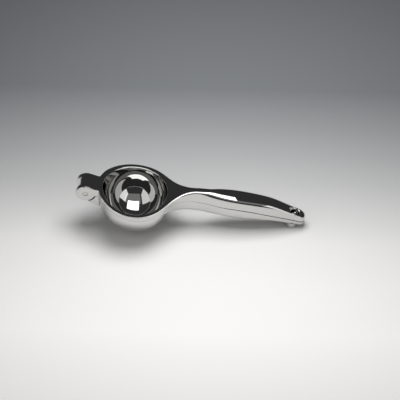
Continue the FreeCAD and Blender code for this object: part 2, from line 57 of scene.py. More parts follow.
# %% Sizes
MM = 0.001
CUP_RADIUS = 35.0
CUP_INSIDE = 33.0
CUP_FLAT = 4.5
CUP_MIDDLE = math.sqrt(CUP_RADIUS ** 2 - CUP_FLAT ** 2)
BOWL_RADIUS = 30.4
BOWL_OUTSIDE = 32.1
BOWL_MIDDLE = 36.6
BOWL_LIP = 1.2
SEAT_GAP = 0.1
TIP_GAP = 0.9
HINGE = np.array([-46.3, 44.7])
EAR_RADIUS = 9.1
EAR_ROUND = 0.8
EAR_SOFT = 0.35
SLIT_RADIUS = 10.0
STRAP_HALF = 9.6
STRAP_CORNER = 2.5
STRAP_SLOPE = 23.0
SLIT_END = -20.0
CAP_END = 119.0
SLOT_HALF = 5.0
SLOT_FLOOR = 6.9
KNUCKLE_RADIUS = 6.3
KNUCKLE_HALF = 4.75
PIN_RADIUS = 2.4
PIN_RELIEF = 0.15
PIN_RELIEF_DEPTH = 1.5
FLARE_FROM = 51.0
STRAP_BEND_X = -38.0
WEB_BEND_X = 38.0
RING_END_X = 40.0
NECK_X = 56.0
HANG_FROM_X = 146.6
TIP_END = 162.0
HANG_RADIUS = 3.7
HANG_AHEAD = 149.1
HANG_TILT = math.radians(13.0)
HANG_DISH = 1.9
HANG_MOUTH = (153.2, 6.4, 5.2)
DISH_CURL = (0.1, 0.4)
STEPS_TO_LEVEL = 30
FOOT_LIP = 0.35
FOOT_EDGE = 0.7
FOOT_ROWS = (2.5, 3.5, 4.5)
FOOT_SUNK = 0.8
FOOT_RADIUS = 6.3
STRAIN_RADIUS = 1.8
STRAIN_CIRCLES = ((8.0, 6), (15.5, 12))

# %% [markdown]
# ## Smooth curves
#
# A casting like this is drawn with a few long curves. A clamped cubic spline goes through the
# chosen points, bends as little as it can between them and leaves both ends in a given direction.

# %% Splines


def spline(points, start, end, count=3000):
    """Rows on a cubic spline, by solving for the slopes that make its second derivative run on."""
    points = np.asarray(points, float)
    steps = np.hypot(*np.diff(points, axis=0).T)
    knots = np.concatenate([[0.0], np.cumsum(steps)])
    chords = np.diff(points, axis=0) / steps[:, None]
    rows = len(points)
    matrix = np.eye(rows)
    right = np.zeros((rows, 2))
    right[0] = start
    right[-1] = end
    inner = np.arange(1, rows - 1)
    matrix[inner, inner - 1] = steps[1:]
    matrix[inner, inner] = 2 * (steps[1:] + steps[:-1])
    matrix[inner, inner + 1] = steps[:-1]
    right[inner] = 3 * (steps[1:, None] * chords[:-1] + steps[:-1, None] * chords[1:])
    slopes = np.linalg.solve(matrix, right)
    along = np.linspace(0.0, knots[-1], count)
    piece = np.clip(np.searchsorted(knots, along, side="right") - 1, 0, rows - 2)
    width = steps[piece][:, None]
    share = (along - knots[piece])[:, None] / width
    return ((2 * share ** 3 - 3 * share ** 2 + 1) * points[piece]
            + (share ** 3 - 2 * share ** 2 + share) * width * slopes[piece]
            + (3 * share ** 2 - 2 * share ** 3) * points[piece + 1]
            + (share ** 3 - share ** 2) * width * slopes[piece + 1])


def heading(degrees):
    return (math.cos(math.radians(degrees)), math.sin(math.radians(degrees)))


def on_circle(centre, radius, degrees):
    """Points on a circle: the centre plus the radius times cosine and sine."""
    angle = np.radians(degrees)
    return np.stack([centre[0] + radius * np.cos(angle), centre[1] + radius * np.sin(angle)], axis=-1)


STATIONS = (54.0, 80.0, 105.0, 130.0, 147.0, 162.4)
strap_touch = on_circle(HINGE, EAR_RADIUS, 90 - STRAP_SLOPE)
slit_top = on_circle(HINGE, EAR_RADIUS, SLIT_END)
top_rows = spline([strap_touch, (-28, 46.9), (0, 40.7), (18, 39.5), (36, 41.0)]
                  + list(zip(STATIONS, (43.2, 40.3, 35.5, 28.9, 20.9, 13.6))),
                  heading(-STRAP_SLOPE), heading(-22))
part_rows = spline([slit_top, (-28, 42.3), (0, 36.1), (18, 34.9), (36, 35.8)]
                   + list(zip(STATIONS, (32.0, 28.2, 24.6, 17.3, 12.1, 7.0))),
                   heading(0), heading(-22))
under_rows = spline([(18, 33.5), (36, 26.6)]
                    + list(zip(STATIONS, (19.5, 16.0, 12.9, 9.9, 6.0, 2.8))),
                    heading(-17), heading(-16))


def follow(rows):
    """A line of rows as a function of x."""
    return lambda x: np.interp(x, rows[:, 0], rows[:, 1])


top_at = follow(top_rows)
part_at = follow(part_rows)
under_at = follow(under_rows)


def rim_at(x):
    """The lower arm's top: the parting line less a gap that grows from the neck to the tip."""
    share = np.clip((x - STATIONS[0]) / (STATIONS[-1] - STATIONS[0]), 0, 1)
    return part_at(x) - SEAT_GAP - share * (TIP_GAP - SEAT_GAP)


print("heights over the neck in mm: top %.1f, parting line %.1f, underside %.1f"
      % (top_at(STATIONS[0]), part_at(STATIONS[0]), under_at(STATIONS[0])))

# %% [markdown]
# ## The outline in plan
#
# Seen from above, one line runs round half of the squeezer: beside the strap, through a hollow
# corner into the ring, round the ring, in a long flare to the neck, along the handle and round its
# tip. A second line runs inside it: along the middle, round the bowl's mouth, along the middle
# again and round the mouth of the hang hole. Every row of the skin joins one point of each.

# %% Outline and inner line
corner_centre = np.array([-math.sqrt((CUP_RADIUS + STRAP_CORNER) ** 2 - (STRAP_HALF + STRAP_CORNER) ** 2),
                          STRAP_HALF + STRAP_CORNER])
corner_end = corner_centre * CUP_RADIUS / (CUP_RADIUS + STRAP_CORNER)
ring_from = math.degrees(math.atan2(corner_end[1], corner_end[0]))
leave = on_circle((0, 0), CUP_RADIUS, FLARE_FROM)
side_rows = spline([leave, (36, 13.6), (54, 4.3), (80, 7.2), (105, 8.6), (130, 7.3), (147, 6.0),
                    (156.2, 5.8)], heading(FLARE_FROM - 90), heading(0))
tip_half = side_rows[-1, 1]
tip_centre = np.array([TIP_END - tip_half, 0.0])


def even(rows, count):
    """Picks points at equal steps along a line."""
    along = np.concatenate([[0.0], np.cumsum(np.hypot(*np.diff(rows, axis=0).T))])
    wanted = np.linspace(0, along[-1], count)
    return np.stack([np.interp(wanted, along, rows[:, 0]), np.interp(wanted, along, rows[:, 1])], axis=-1)


STRAP_ROWS = 18
strap_line = np.stack([np.linspace(strap_touch[0], corner_centre[0], STRAP_ROWS),
                       np.full(STRAP_ROWS, STRAP_HALF)], axis=-1)
corner_last = math.degrees(math.atan2(-corner_centre[1], -corner_centre[0]))
corner_line = on_circle(corner_centre, STRAP_CORNER, np.linspace(-90, corner_last, 12))
ring_line = on_circle((0, 0), CUP_RADIUS, np.linspace(ring_from, FLARE_FROM, 120))
flare_line = even(side_rows[side_rows[:, 0] <= NECK_X], 60)
long_line = even(side_rows[side_rows[:, 0] >= NECK_X], 160)
tip_line = on_circle(tip_centre, tip_half, np.linspace(90, 0, 22))
outline = np.concatenate([strap_line, corner_line[1:], ring_line[1:], flare_line[1:], long_line[1:],
                          tip_line[1:]])
RING_ROWS = STRAP_ROWS + len(corner_line) + len(ring_line) - 2
strap_bend = int(np.searchsorted(outline[:STRAP_ROWS, 0], STRAP_BEND_X))
web_bend = RING_ROWS + int(np.searchsorted(outline[RING_ROWS:, 0], WEB_BEND_X))
hang_row = RING_ROWS + int(np.searchsorted(outline[RING_ROWS:, 0], HANG_FROM_X))
print("outline rows", len(outline), "of which strap", STRAP_ROWS, "and up to the flare", RING_ROWS)


def inner_line(mouth, hole):
    """The inner line for a mouth of one radius and a hang hole (middle x, half length, half width)."""
    x = outline[:, 0]
    row = np.arange(len(outline))
    ring_row = STRAP_ROWS + len(corner_line) - 2
    turn = np.interp(row, [strap_bend, ring_row], [180, ring_from])
    turn = np.where(row > ring_row, np.degrees(np.arctan2(outline[:, 1], x)), turn)
    turn = np.where(row >= RING_ROWS, np.interp(x, [leave[0], x[web_bend]], [FLARE_FROM, 0]), turn)
    circle = on_circle((0, 0), mouth, turn)
    before = np.interp(x, [strap_touch[0], STRAP_BEND_X], [strap_touch[0], -mouth])
    after = np.interp(x, [x[web_bend], NECK_X, x[hang_row]], [mouth, NECK_X, hole[0] - hole[1]])
    start = len(outline) - len(tip_line)
    turn = np.where(row < start, np.interp(x, [x[hang_row], x[start]], [180, 70]),
                    np.interp(row, [start, len(outline) - 1], [70, 0]))
    turn = np.radians(turn)
    round_hole = np.stack([hole[0] + hole[1] * np.cos(turn), hole[2] * np.sin(turn)], axis=-1)
    result = np.where((row < strap_bend)[:, None], np.stack([before, 0 * x], axis=-1), circle)
    result = np.where((row > web_bend)[:, None], np.stack([after, 0 * x], axis=-1), result)
    return np.where((row >= hang_row)[:, None], round_hole, result)


# %% [markdown]
# ## Sheets, and how they become one mesh
#
# A sheet is a grid of points. Its faces are turned to the side that a rough outward direction
# names, all sheets of a piece go into one mesh, points that meet are merged, and edges sharper
# than a set angle stay crisp while the rest is shaded smooth. Where two sheets of different
# spacing meet, each gets the other's points along the seam, so that no crack stays open.

# %% Sheets into meshes


def sheet(points, outward):
    """Quads over a grid of points, turned so that on the whole they face outward."""
    points = np.asarray(points, float)
    rows, columns = points.shape[:2]
    index = np.arange(rows * columns).reshape(rows, columns)
    quads = np.stack([index[:-1, :-1], index[1:, :-1], index[1:, 1:], index[:-1, 1:]], axis=-1)
    quads = quads.reshape(-1, 4)
    flat = points.reshape(-1, 3)
    across = np.cross(flat[quads[:, 2]] - flat[quads[:, 0]], flat[quads[:, 3]] - flat[quads[:, 1]])
    if callable(outward):
        wanted = outward(flat[quads].mean(axis=1))
    else:
        wanted = np.broadcast_to(np.asarray(outward, float), across.shape)
    if np.einsum("ij,ij->", across, wanted) < 0:
        quads = quads[:, ::-1]
    return flat, quads


def mirrored(part):
    """The same sheet on the other side of the middle plane, still facing outward."""
    points, faces = part
    return points * [1, -1, 1], faces[:, ::-1]


def both_sides(parts):
    return parts + [mirrored(part) for part in parts]


def open_points(work):
    found = {point for edge in work.edges if edge.is_boundary for point in edge.verts}
    return sorted(found, key=lambda point: point.index)


def stitch(work, near=1.5e-5):
    """Closes seams between sheets of different spacing: every open edge is divided where an open
    point of another sheet lies on it, and then the points are merged."""
    bmesh.ops.remove_doubles(work, verts=open_points(work), dist=near)
    work.verts.index_update()
    places = np.array([point.co for point in open_points(work)])
    for edge in [edge for edge in work.edges if edge.is_boundary]:
        first, last = (np.array(point.co) for point in edge.verts)
        length = np.linalg.norm(last - first)
        share = (places - first) @ (last - first) / length ** 2
        away = np.linalg.norm(first + share[:, None] * (last - first) - places, axis=1)
        inside = (share * length > near) & ((1 - share) * length > near)
        found = np.nonzero((away < near) & inside)[0]
        start = edge.verts[0]
        done = 0.0
        for index in found[np.argsort(share[found])]:
            start = bmesh.utils.edge_split(edge, start, (share[index] - done) / (1 - done))[1]
            start.co = places[index]
            done = share[index]
    bmesh.ops.remove_doubles(work, verts=open_points(work), dist=near)


def build(name, parts, sharp=32.0):
    """One mesh object from many sheets, in metres."""
    points = np.concatenate([part[0] for part in parts])
    faces = []
    start = 0
    for part_points, part_faces in parts:
        faces.extend((part_faces + start).tolist())
        start += len(part_points)
    mesh = bpy.data.meshes.new(name)
    mesh.from_pydata((points * MM).tolist(), [], faces)
    work = bmesh.new()
    work.from_mesh(mesh)
    bmesh.ops.remove_doubles(work, verts=work.verts, dist=2e-6)
    bmesh.ops.dissolve_degenerate(work, edges=work.edges, dist=1e-7)
    stitch(work)
    limit = math.radians(sharp)
    for edge in work.edges:
        if len(edge.link_faces) == 2 and edge.calc_face_angle(0.0) > limit:
            edge.smooth = False
    for face in work.faces:
        face.smooth = True
    opened = sum(1 for edge in work.edges if len(edge.link_faces) != 2)
    work.to_mesh(mesh)
    work.free()
    piece = bpy.data.objects.new(name, mesh)
    bpy.context.scene.collection.objects.link(piece)
    print(name, "faces", len(mesh.polygons), "open edges", opened)
    return piece


def between(first, last, steps):
    """Points at equal steps on the straight lines from each first point to its last one."""
    shares = np.linspace(0, 1, steps)[None, :, None]
    return first[:, None, :] * (1 - shares) + last[:, None, :] * shares


# %% [markdown]
# ## The skin of the upper arm
#
# Across the outline every row has the same recipe: flat from the inner line, round over the edge,
# down the wall, a small round at the parting line and back in underneath. On the ring the edge is
# a small quarter circle. Along the handle it becomes a quarter ellipse, wide and shallow, and the
# whole top is crowned. That draws the bright line along a chrome handle, because a gentle slope
# mirrors the light overhead, with a thin black line below it, where the edge turns down fast.

# %% Cross profile of a row


def ramp(x, first, last):
    """Zero before the first place, one after the last, three t squared less two t cubed between."""
    share = np.clip((x - first) / (last - first), 0, 1)
    return share ** 2 * (3 - 2 * share)


def edge_width(x):
    return 0.6 + 2.0 * ramp(x, 24, 50)


def edge_drop(x):
    return 0.6 + 0.9 * ramp(x, 24, 46) - 0.5 * ramp(x, 120, 152)


def low_edge(x):
    return 0.1 + 0.25 * ramp(x, 70, 95)


def crown_fall(x):
    """How far the crown has fallen at the edge of the handle."""
    return 2.1 * ramp(x, 60, 74) - 1.3 * ramp(x, 115, 152)


def swell_at(x):
    """The handle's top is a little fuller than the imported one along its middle."""
    return 1.3 * (ramp(x, 48, 96) - ramp(x, 128, 158))


half_at = follow(side_rows)


def inward(outer, inner):
    """How far each inner point lies from its outer one, and the direction towards it."""
    reach = np.linalg.norm(inner - outer, axis=1)
    return reach, (inner - outer) / np.maximum(reach, 1e-9)[:, None]


def rows_at(outer, towards, distance, height_of, lift):
    """Points at the given distances inside the outline, with a lift added to the height there."""
    plan = outer[:, None, :] + towards[:, None, :] * distance[:, :, None]
    height = height_of(plan[:, :, 0]) + lift
    return np.concatenate([plan, height[:, :, None]], axis=2)


def top_points(outer, inner, flat_steps=14, round_steps=10):
    """Rows over the top: level along the inner part, then a quarter ellipse at the edge. With d the
    distance from the edge and w the ellipse's width, the edge drops by its depth times one minus
    the root of 1 - (1 - d / w) squared, and the crown by its fall times (1 - d / half width)
    squared."""
    x = outer[:, 0]
    reach, towards = inward(outer, inner)
    width = edge_width(x)
    start = np.arcsin(np.clip(1 - reach / width, 0, 1))
    turn = start[:, None] + (math.pi / 2 - start)[:, None] * np.linspace(0, 1, round_steps)[None, :]
    round_d = width[:, None] * (1 - np.sin(turn))
    flat_share = np.linspace(0, 1, flat_steps)[None, :]
    flat_d = reach[:, None] + (np.minimum(width, reach) - reach)[:, None] * flat_share
    distance = np.concatenate([flat_d[:, :-1], round_d], axis=1)
    within = np.clip(width[:, None] - distance, 0, None) / width[:, None]
    drop = edge_drop(x)[:, None] * (1 - np.sqrt(np.clip(1 - within ** 2, 0, None)))
    full = np.maximum(half_at(x), 1.0)[:, None]
    fall = crown_fall(x)[:, None] * (1 - np.clip(distance / full, 0, 1)) ** 2
    return rows_at(outer, towards, distance, top_at, swell_at(x)[:, None] - drop - fall)


def low_points(outer, inner, height_of, steps=10, upward=False):
    """Rows under a piece: a small quarter round at the edge, then level to the inner line."""
    reach, towards = inward(outer, inner)
    turn = np.linspace(0, math.pi / 2, 5)
    small = np.minimum(low_edge(outer[:, 0]), reach)[:, None]
    round_d = small * (1 - np.cos(turn))[None, :]
    level = small + (reach[:, None] - small) * np.linspace(0, 1, steps)[None, 1:]
    distance = np.concatenate([round_d, level], axis=1)
    lift = small * np.concatenate([1 - np.sin(turn), np.zeros(steps - 1)])[None, :]
    return rows_at(outer, towards, distance, height_of, -lift if upward else lift)


mouth_radius = BOWL_RADIUS + BOWL_LIP
mouth_line = inner_line(mouth_radius, HANG_MOUTH)
top_grid = top_points(outline, mouth_line)


def hang_circle(level_of, turns):
    """The hang hole's wall where it meets a level: found by stepping along the leaning axis."""
    along = 0 * turns
    side = HANG_RADIUS * np.cos(turns)
    sine, cosine = math.sin(HANG_TILT), math.cos(HANG_TILT)
    for step in range(STEPS_TO_LEVEL):
        along = (level_of(HANG_AHEAD + along * sine + side * cosine) + side * sine) / cosine
    x = HANG_AHEAD + along * sine + side * cosine
    return np.stack([x, HANG_RADIUS * np.sin(turns), level_of(x)], axis=-1)


# Under the top the line's own hole only sets where the rows turn: the true circle replaces it
SEAM_HOLE = (151.0, 4.0, 4.0)
hang_rows = np.arange(hang_row, len(outline))
hang_turns = np.arctan2(mouth_line[hang_rows, 1] / HANG_MOUTH[2],
                        (mouth_line[hang_rows, 0] - HANG_MOUTH[0]) / HANG_MOUTH[1])
bottom_line = inner_line(BOWL_OUTSIDE, SEAM_HOLE)
bottom_line[hang_rows] = hang_circle(part_at, hang_turns)[:, :2]
low_grid = low_points(outline, bottom_line, part_at)
up = (0, 0, 1)
down = (0, 0, -1)


def away_from_middle(points):
    """Outward in plan: from the cup's axis round the ring, from the middle plane beyond it."""
    result = points * [1, 1, 0]
    result[points[:, 0] > RING_END_X, 0] = 0
    return result


upper_parts = [sheet(top_grid, up)]
walls = between(top_grid[STRAP_ROWS - 1:, -1], low_grid[STRAP_ROWS - 1:, 0], 10)
upper_parts.append(sheet(walls, away_from_middle))
under_from = np.searchsorted(outline[:STRAP_ROWS, 0], slit_top[0] + 0.1)
upper_parts.append(sheet(low_grid[under_from:], down))
print("rows over the top", len(top_grid), "and under it", len(low_grid) - under_from)

# %% [markdown]
# ## The pressing bowl
#
# The bowl is a half sphere with a short straight wall, because the ring's top rises and falls
# above a level rim. Its mouth is rounded by a quarter circle that follows the curved top.

# %% Pressing bowl
mouth_rows = np.arange(strap_bend, web_bend + 1)
mouth_turns = np.arctan2(mouth_line[mouth_rows, 1], mouth_line[mouth_rows, 0])


def ring_points(turns, radius, height):
    """Points round the cup's axis; radius and height are one row for each angle."""
    cosine = np.cos(turns)[:, None]
    sine = np.sin(turns)[:, None]
    return np.stack([radius * cosine, radius * sine, height + 0 * radius * cosine], axis=-1)


def bowl_inside(turns):
    """From the mouth over a quarter-round lip, down the wall and along a quarter circle to the pole."""
    lip = np.linspace(0, math.pi / 2, 9)
    lip_radius = np.broadcast_to(mouth_radius - BOWL_LIP * np.sin(lip), (len(turns), 9))
    lip_height = top_at(lip_radius * np.cos(turns)[:, None]) - BOWL_LIP * (1 - np.cos(lip))
    wall_share = np.linspace(0, 1, 7)[1:]
    wall_height = lip_height[:, -1:] * (1 - wall_share) + BOWL_MIDDLE * wall_share
    bend = np.linspace(0, math.pi / 2, 60)[1:]
    ball_radius = np.broadcast_to(BOWL_RADIUS * np.cos(bend), (len(turns), 59))
    ball_height = np.broadcast_to(BOWL_MIDDLE - BOWL_RADIUS * np.sin(bend), (len(turns), 59))
    radius = np.concatenate([lip_radius, np.full_like(wall_height, BOWL_RADIUS), ball_radius], axis=1)
    return ring_points(turns, radius, np.concatenate([lip_height, wall_height, ball_height], axis=1))


def ball_wall(turns, radius, middle, level, last, steps):
    """From a level down a straight wall to the ball's middle, where there is room for one, and then
    along the sphere: height is the middle less the radius times the sine of a growing angle."""
    first = np.arcsin(np.clip((middle - level) / radius, 0, 1))
    share = np.linspace(0, 1, 6)
    wall = level[:, None] * (1 - share) + np.minimum(level, middle)[:, None] * share
    bend = first[:, None] + (last - first)[:, None] * np.linspace(0, 1, steps)[None, 1:]
    radii = np.concatenate([np.full_like(wall, radius), radius * np.cos(bend)], axis=1)
    heights = np.concatenate([wall, middle - radius * np.sin(bend)], axis=1)
    return ring_points(turns, radii, heights)


bowl_centre = np.array([0, 0, BOWL_MIDDLE])
bowl_level = part_at(BOWL_OUTSIDE * np.cos(mouth_turns))
bowl_outside = ball_wall(mouth_turns, BOWL_OUTSIDE, BOWL_MIDDLE, bowl_level, math.pi / 2, 50)
upper_parts.append(sheet(bowl_inside(mouth_turns), lambda p: bowl_centre - p))
upper_parts.append(sheet(bowl_outside, lambda p: p - bowl_centre))
print("mouth rows", len(mouth_rows), "bowl floor at %.2f mm" % (BOWL_MIDDLE - BOWL_RADIUS))

# %% [markdown]
# ## The hang hole
#
# The hole leans by a few degrees, so that it stands square to the sloping tip. Its mouth is dished:
# a curve with three control points leaves the handle's top, turns down and ends in the straight
# bore. A bevel would do as well, but chrome shows it as one flat ring.

# %% Hang hole of the upper arm
hang_axis = np.array([math.sin(HANG_TILT), 0, math.cos(HANG_TILT)])
hang_base = np.array([HANG_AHEAD, 0, 0])


def bore_ring(turns, along, radius=HANG_RADIUS):
    """A circle round the leaning axis, at a distance along it."""
    side = np.array([math.cos(HANG_TILT), 0, -math.sin(HANG_TILT)])
    return (hang_base + hang_axis * np.reshape(along, (-1, 1)) + radius * np.cos(turns)[:, None] * side
            + radius * np.sin(turns)[:, None] * np.array([0, 1.0, 0]))


mouth_edge = top_grid[hang_rows, 0]
mouth_level = float(np.mean((mouth_edge - hang_base) @ hang_axis))
dish_end = bore_ring(hang_turns, mouth_level - HANG_DISH)
dish_pull = bore_ring(hang_turns, mouth_level - DISH_CURL[0], HANG_RADIUS + DISH_CURL[1])
share = np.linspace(0, 1, 14)[None, :, None]
dish = ((1 - share) ** 2 * mouth_edge[:, None] + 2 * share * (1 - share) * dish_pull[:, None]
        + share ** 2 * dish_end[:, None])
bore_low = low_grid[hang_rows, -1]
bore = between(dish_end, bore_low, 8)


def towards_hang_axis(points):
    along = (points - hang_base) @ hang_axis
    return hang_base + along[:, None] * hang_axis - points


upper_parts.append(sheet(dish, lambda p: towards_hang_axis(p) + [0, 0, 3]))
upper_parts.append(sheet(bore, towards_hang_axis))

# %% [markdown]
# ## The fork
#
# Behind the strap the casting ends in a fork with two round ears. The fork is turned round the
# hinge axis: a profile with rounded corners swept through an angle. Where the fork is closed on
# top the profile runs right across, and where it is slotted each ear has an inner face as well.

# %% Fork


def hinge_sweep(degrees, radius, across):
    """A profile of radius and sideways place, swept round the hinge axis through the angles."""
    angle = np.radians(degrees)[:, None]
    radius = np.broadcast_to(radius, (len(degrees), np.shape(radius)[-1]))
    return np.stack([HINGE[0] + radius * np.cos(angle), np.broadcast_to(across, radius.shape),
                     HINGE[1] + radius * np.sin(angle)], axis=-1)


def away_from(centre, sign=1):
    """A direction for sheets: away from an axis along Y, or towards it with sign -1."""
    return lambda points: sign * (points - [centre[0], 0, centre[1]]) * [1, 0, 1]


quarter = np.linspace(0, math.pi / 2, 8)
outer_radius = EAR_RADIUS - EAR_ROUND * (1 - np.sin(quarter))
outer_across = STRAP_HALF - EAR_ROUND * (1 - np.cos(quarter))
inner_radius = EAR_RADIUS - EAR_SOFT * (1 - np.cos(quarter))
inner_across = SLOT_HALF + EAR_SOFT * (1 - np.sin(quarter))
open_angles = np.linspace(CAP_END, 360 + SLIT_END, 90)
closed_angles = np.linspace(90 - STRAP_SLOPE, CAP_END, 24)
full_angles = np.linspace(SLIT_END, 360 + SLIT_END, 121)
hollow_angles = np.linspace(SLIT_END, CAP_END, 60)
relief = PIN_RADIUS + PIN_RELIEF


def slot_end(degrees, turn):
    """A flat end of the slot: a plate along the radius at one angle, facing round the hinge axis."""
    reach = np.linspace(SLOT_FLOOR, EAR_RADIUS, 4)
    grid = [hinge_sweep([degrees], reach, place)[0] for place in np.linspace(0, SLOT_HALF, 4)]
    facing = math.radians(degrees + turn)
    return sheet(grid, (math.cos(facing), 0, math.sin(facing)))


# In turn: closed cap, ears, outer faces, inner faces round the open and the closed part, floor of
# the slot, pin bore with its relief
fork = [sheet(hinge_sweep(angles, radii, across), outward) for angles, radii, across, outward in (
    (closed_angles, np.append(outer_radius, EAR_RADIUS), np.append(outer_across, 0.0), away_from(HINGE)),
    (open_angles, np.append(outer_radius, inner_radius), np.append(outer_across, inner_across),
     away_from(HINGE)),
    (full_angles, np.linspace(relief, EAR_RADIUS - EAR_ROUND, 6), np.full(6, STRAP_HALF), (0, 1, 0)),
    (open_angles, np.linspace(PIN_RADIUS, EAR_RADIUS - EAR_SOFT, 6), np.full(6, SLOT_HALF), (0, -1, 0)),
    (hollow_angles, np.linspace(PIN_RADIUS, SLOT_FLOOR, 5), np.full(5, SLOT_HALF), (0, -1, 0)),
    (hollow_angles, np.full(5, SLOT_FLOOR), np.linspace(0, SLOT_HALF, 5), away_from(HINGE, -1)),
    (full_angles, np.array([relief, relief, PIN_RADIUS, PIN_RADIUS]),
     np.array([STRAP_HALF, STRAP_HALF - PIN_RELIEF_DEPTH, STRAP_HALF - PIN_RELIEF_DEPTH, SLOT_HALF]),
     away_from(HINGE, -1)))]
fork += [slot_end(CAP_END, 90), slot_end(SLIT_END, -90)]

# The flat side of the strap, from the ear's round edge to the hollow corner
low_side = low_grid[under_from:STRAP_ROWS, 0][:, [0, 2]]
top_side = top_grid[:STRAP_ROWS, -1][::-1][:, [0, 2]]
corner_side = between(low_side[-1:], top_side[:1], 6)[0, 1:-1]
edge_offset = np.concatenate([low_side, corner_side, top_side]) - HINGE
edge_turns = np.degrees(np.arctan2(edge_offset[:, 1], edge_offset[:, 0]))
strap_turns = np.sort(np.concatenate([[SLIT_END], edge_turns, [90 - STRAP_SLOPE]]))
reach = np.interp(strap_turns, edge_turns, np.hypot(edge_offset[:, 0], edge_offset[:, 1]))
ear_edge = EAR_RADIUS - EAR_ROUND
shares = np.linspace(0, 1, 6)[None, :]
strap_radius = ear_edge * (1 - shares) + np.maximum(reach, ear_edge)[:, None] * shares
fork.append(sheet(hinge_sweep(strap_turns, strap_radius, STRAP_HALF), (0, 1, 0)))

# Two narrow strips: from the closed cap to the strap, and from the slot's root to the underside
cap_edge = hinge_sweep(np.array([90 - STRAP_SLOPE]), outer_radius, outer_across)[0]
strap_height = np.interp(outer_across, top_grid[0, :, 1], top_grid[0, :, 2])
strap_edge = np.stack([np.full(8, strap_touch[0]), outer_across, strap_height], axis=-1)
fork.append(sheet(np.stack([cap_edge, strap_edge]), (0.4, 0.5, 1)))
first_low = low_grid[under_from]
root_edge = first_low.copy()
root_edge[:, 0] = slit_top[0]
root_edge[:, 2] = slit_top[1] + (first_low[:, 2] - part_at(first_low[0, 0]))
fork.append(sheet(np.stack([root_edge, first_low]), down))
upper_skin = build("upper_arm_skin", both_sides(upper_parts + fork))

# %% [markdown]
# ## The skin of the lower arm
#
# The lower arm follows the same outline. Its top is the parting face with the cup's opening in it,
# the wall of the web and handle goes down to the underside, and the edge below is rounded like the
# one on top. The cup is a half sphere whose bottom is flattened where it stands.

# %% Rim, web and handle of the lower arm


def under_round(x):
    return 2.8 - 1.2 * ramp(x, 90, 150)


def belly_points(outer, inner, flat_steps=12, round_steps=9):
    """Rows under the handle: a quarter round up to the wall and level inside it."""
    reach, towards = inward(outer, inner)
    radius = np.minimum(under_round(outer[:, 0]), reach)[:, None]
    turn = np.linspace(math.pi / 2, 0, round_steps)[None, :]
    flat_d = radius + (reach[:, None] - radius) * np.linspace(0, 1, flat_steps)[None, 1:]
    distance = np.concatenate([radius * (1 - np.sin(turn)), flat_d], axis=1)
    lift = np.concatenate([radius * (1 - np.cos(turn)), 0 * flat_d], axis=1)
    return rows_at(outer, towards, distance, under_at, lift)


# Where the rim begins behind the cup, and where the underside ends inside the cup's wall
RIM_BACK_X = -34.0
BELLY_RADIUS = 33.7
BELLY_HOLE = (150.5, 4.3, 4.3)
rim_line = inner_line(CUP_INSIDE, SEAM_HOLE)
rim_line[hang_rows] = hang_circle(rim_at, hang_turns)[:, :2]
rim_grid = low_points(outline, rim_line, rim_at, upward=True)
rim_grid = rim_grid[:, ::-1]
lower_parts = [sheet(rim_grid[STRAP_ROWS - 1:], up)]
rim_start = rim_grid[STRAP_ROWS - 1]
rim_turn = math.degrees(math.atan2(rim_start[0, 1], rim_start[0, 0]))
back_inner = on_circle((0, 0), CUP_INSIDE, np.linspace(180, rim_turn, 9))
back_outer = np.linspace([RIM_BACK_X, 0.0], rim_start[-1, :2], 9)
back_plan = between(back_inner, back_outer, 9)
lower_parts.append(sheet(np.concatenate([back_plan, rim_at(back_plan[:, :, :1])], axis=2), up))

belly_line = inner_line(BELLY_RADIUS, BELLY_HOLE)
belly_line[hang_rows] = hang_circle(under_at, hang_turns)[:, :2]
belly_grid = belly_points(outline, belly_line)
from_flare = RING_ROWS - 1
lower_parts.append(sheet(belly_grid[from_flare:], down))
lower_wall = between(rim_grid[from_flare:, -1], belly_grid[from_flare:, 0], 12)
lower_bore = between(rim_grid[hang_rows, 0], belly_grid[hang_rows, -1], 10)
lower_parts += [sheet(lower_wall, away_from_middle), sheet(lower_bore, towards_hang_axis)]

# %% [markdown]
# ## The cup and its juice holes
#
# A sphere with holes is awkward as one grid. Seen from above it is easy: the bottom of the cup is a
# flat disc with round gaps, divided into triangles, and each point is then lifted onto the sphere.
# Every hole gets a small round at both ends and a straight wall between them.

# %% Cup
STRAINED = 19.5
AROUND = 192
HOLE_STEPS = 28
HOLE_ROUND = 0.35
DOT_SPACING = 0.9


def sphere_level(plan, radius):
    """Height of the cup's sphere over a point in plan, cut off flat at the bottom outside."""
    level = CUP_MIDDLE - np.sqrt(radius ** 2 - np.sum(plan ** 2, axis=-1))
    return np.maximum(level, 0) if radius == CUP_RADIUS else level


def cup_wall(radius, drop, outward):
    """From a little under the rim down to the edge of the strainer disc."""
    level = rim_at(radius * np.cos(cup_turns)) - drop
    return sheet(ball_wall(cup_turns, radius, CUP_MIDDLE, level, math.acos(STRAINED / radius), 44), outward)


hole_centres = np.concatenate([on_circle((0, 0), radius, np.arange(count) * 360.0 / count)
                               for radius, count in STRAIN_CIRCLES])
hole_turns = np.linspace(0, 2 * math.pi, HOLE_STEPS + 1)[:-1]
cup_turns = np.linspace(0, 2 * math.pi, AROUND + 1)
disc_turns = cup_turns[:-1]


